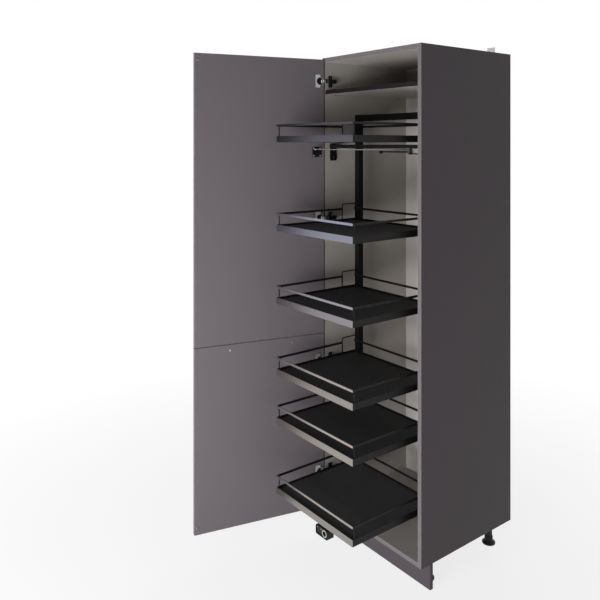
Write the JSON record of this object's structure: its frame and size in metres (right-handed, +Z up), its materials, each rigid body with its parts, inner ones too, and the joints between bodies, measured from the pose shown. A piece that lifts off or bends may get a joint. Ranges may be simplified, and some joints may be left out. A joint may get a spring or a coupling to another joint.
{
  "type": "pull-out pantry cabinet",
  "caption": "Tall cabinet whose hinged door draws out a frame of railed trays through a folding arm, with a fixed top compartment.",
  "frame": {"origin": "on the floor, under the middle of the plinth board", "axes": "+X to the right as seen from the front, +Y to the back wall, +Z up"},
  "size_m": [0.7429, 1.1504, 2.162],
  "materials": {
    "dark_board": "matt melamine",
    "inner_board": "matt melamine",
    "back_board": "matt melamine",
    "door_front": "matt lacquer",
    "zinc_steel": "zinc plated",
    "nickel_steel": "nickel plated",
    "black_plastic": "moulded",
    "black_steel": "powder coated",
    "roller_plastic": "moulded",
    "clear_rubber": "soft",
    "tray_steel": "satin powder coat",
    "gallery_steel": "satin powder coat",
    "tray_board": "matt dark melamine"
  },
  "bodies": {
    "carcass": {"side_left": "dark_board", "side_right": "dark_board", "top_panel": "inner_board", "bottom_panel": "inner_board", "back_panel": "back_board", "fixed_shelf": "inner_board", "shelf_pins": "zinc_steel", "plinth": "dark_board", "plinth_clips": "black_plastic", "leg_sockets": "black_plastic", "leg_feet": "black_plastic", "hinge_plates": "black_steel", "hinge_arms": "black_steel", "cross_rail": "black_steel", "rail_brackets": "black_steel", "arm_pivot": "zinc_steel", "runner_rail": "black_steel", "wall_angles": "zinc_steel", "carcass_screws": "zinc_steel"},
    "door": {"upper_door": "door_front", "lower_door": "door_front", "leaf_dowels": "zinc_steel", "hinge_cups": "nickel_steel", "hinge_pins": "zinc_steel", "door_screws": "zinc_steel", "handle": "black_steel", "handle_screws": "zinc_steel", "door_bracket": "black_steel", "door_buffers": "clear_rubber"},
    "link_rod": {"link_rod": "nickel_steel"},
    "front_arm": {"arm_front": "black_steel", "elbow_pin": "zinc_steel"},
    "rear_arm": {"arm_rear": "black_steel"},
    "tray_frame": {"left_column": "black_steel", "right_column": "black_steel", "column_caps": "black_plastic", "top_crossbar": "black_steel", "bottom_crossbar": "black_steel", "arm_bracket": "black_steel", "runner_beam": "black_steel", "beam_cap": "black_plastic", "cap_ring": "nickel_steel", "frame_screws": "zinc_steel", "tray_boards": "tray_board", "tray_1": "tray_steel", "tray_2": "tray_steel", "tray_3": "tray_steel", "tray_4": "tray_steel", "tray_5": "tray_steel", "tray_6": "tray_steel", "gallery_1": "gallery_steel", "gallery_2": "gallery_steel", "gallery_3": "gallery_steel", "gallery_4": "gallery_steel", "gallery_5": "gallery_steel", "gallery_6": "gallery_steel"},
    "front_rollers": {"front_rollers": "roller_plastic"},
    "rear_rollers": {"rear_rollers": "roller_plastic"}
  },
  "joints": [
    {"name": "door_hinge", "type": "hinge", "parent": "carcass", "child": "door", "pos_m": [-0.2907, -0.0698, 1.1], "axis": [0, 0, 1], "range_deg": [0, 104.5]},
    {"name": "front_arm_pivot", "type": "hinge", "parent": "carcass", "child": "front_arm", "pos_m": [0.205, -0.016, 1.703], "axis": [0, 0, 1], "range_deg": [-104, 0]},
    {"name": "elbow_pivot", "type": "hinge", "parent": "front_arm", "child": "rear_arm", "pos_m": [0.037, -0.016, 1.7], "axis": [0, 0, 1], "range_deg": [0, 209]},
    {"name": "frame_pivot", "type": "hinge", "parent": "rear_arm", "child": "tray_frame", "pos_m": [0.205, -0.016, 1.697], "axis": [0, 0, 1], "range_deg": [-104.5, 0]},
    {"name": "link_rod_pivot", "type": "hinge", "parent": "door", "child": "link_rod", "pos_m": [-0.27685, -0.11675, 1.709], "axis": [0, 0, 1], "range_deg": [-114.29, 0]},
    {"name": "front_roller_spin", "type": "hinge", "parent": "tray_frame", "child": "front_rollers", "pos_m": [0, -0.02, 0.1353], "axis": [1, 0, 0], "continuous": true},
    {"name": "rear_roller_spin", "type": "hinge", "parent": "tray_frame", "child": "rear_rollers", "pos_m": [0, 0.092, 0.1353], "axis": [1, 0, 0], "continuous": true}
  ],
  "couplings": [
    {"joint": "door_hinge", "follows": "front_arm_pivot", "ratio": -1},
    {"joint": "elbow_pivot", "follows": "front_arm_pivot", "ratio": -2},
    {"joint": "frame_pivot", "follows": "front_arm_pivot", "ratio": 1},
    {"joint": "link_rod_pivot", "follows": "front_arm_pivot", "ratio": 1.0942}
  ]
}
